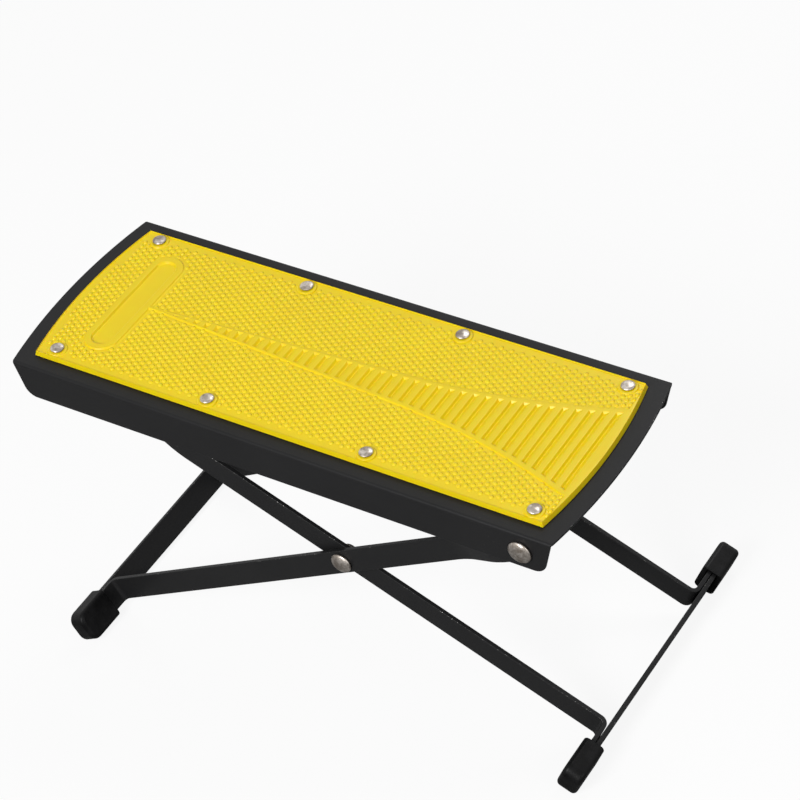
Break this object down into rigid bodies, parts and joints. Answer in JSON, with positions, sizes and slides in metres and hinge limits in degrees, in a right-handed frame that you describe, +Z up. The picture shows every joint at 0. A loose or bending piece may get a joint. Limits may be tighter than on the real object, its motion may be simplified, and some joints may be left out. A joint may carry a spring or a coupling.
{
  "type": "guitar footrest",
  "caption": "Folding guitar footrest: a rubber-topped steel channel platform on a scissor stand of flat bar, whose rod hooks into notched rails to set the height.",
  "frame": {"origin": "on the floor, under the middle of the object's bounding box", "axes": "+X along the platform towards its pivot end, +Y across it towards the far side, +Z up"},
  "size_m": [0.2798, 0.148, 0.1566],
  "materials": {
    "powder_coated_steel": "satin black powder coat with a fine texture",
    "yellow_rubber": "moulded, satin",
    "black_rubber": "moulded, matte",
    "nickel_plated_steel": "nickel-plated, slightly dulled"
  },
  "bodies": {
    "outer_frame": {"outer_arm_near": "powder_coated_steel", "outer_arm_far": "powder_coated_steel", "outer_foot_bar": "powder_coated_steel", "outer_foot_near": "black_rubber", "outer_foot_far": "black_rubber", "scissor_rivet_near": "nickel_plated_steel", "scissor_rivet_far": "nickel_plated_steel", "scissor_washer_near": "nickel_plated_steel", "scissor_washer_far": "nickel_plated_steel", "scissor_spacer_near": "nickel_plated_steel", "scissor_spacer_far": "nickel_plated_steel"},
    "inner_frame": {"inner_arm_near": "powder_coated_steel", "inner_arm_far": "powder_coated_steel", "inner_foot_bar": "powder_coated_steel", "inner_foot_near": "black_rubber", "inner_foot_far": "black_rubber", "height_rod": "powder_coated_steel"},
    "platform_pivots": {"pivot_rivet_near": "nickel_plated_steel", "pivot_rivet_far": "nickel_plated_steel", "pivot_washer_near": "nickel_plated_steel", "pivot_washer_far": "nickel_plated_steel"},
    "platform": {"top_plate": "powder_coated_steel", "rubber_pad": "yellow_rubber", "pad_rivet_1": "nickel_plated_steel", "pad_rivet_2": "nickel_plated_steel", "pad_rivet_3": "nickel_plated_steel", "pad_rivet_4": "nickel_plated_steel", "pad_rivet_5": "nickel_plated_steel", "pad_rivet_6": "nickel_plated_steel", "pad_rivet_7": "nickel_plated_steel", "pad_rivet_8": "nickel_plated_steel", "notched_rail_near": "powder_coated_steel", "notched_rail_far": "powder_coated_steel"}
  },
  "joints": [
    {"name": "frame_fold", "type": "hinge", "parent": "outer_frame", "child": "inner_frame", "pos_m": [0.01535, 0, 0.0732], "axis": [0, -1, 0], "range_deg": [-23.7, 50]},
    {"name": "platform_fold", "type": "hinge", "parent": "outer_frame", "child": "platform_pivots", "pos_m": [0.11915, 0, 0.11936], "axis": [0, -1, 0], "range_deg": [-12.84, 27.08]},
    {"name": "platform_lift", "type": "hinge", "parent": "platform_pivots", "child": "platform", "pos_m": [0.11915, 0, 0.11936], "axis": [0, 1, 0], "range_deg": [-1, 20]}
  ],
  "couplings": [
    {"joint": "platform_fold", "follows": "frame_fold", "ratio": 0.5415}
  ]
}
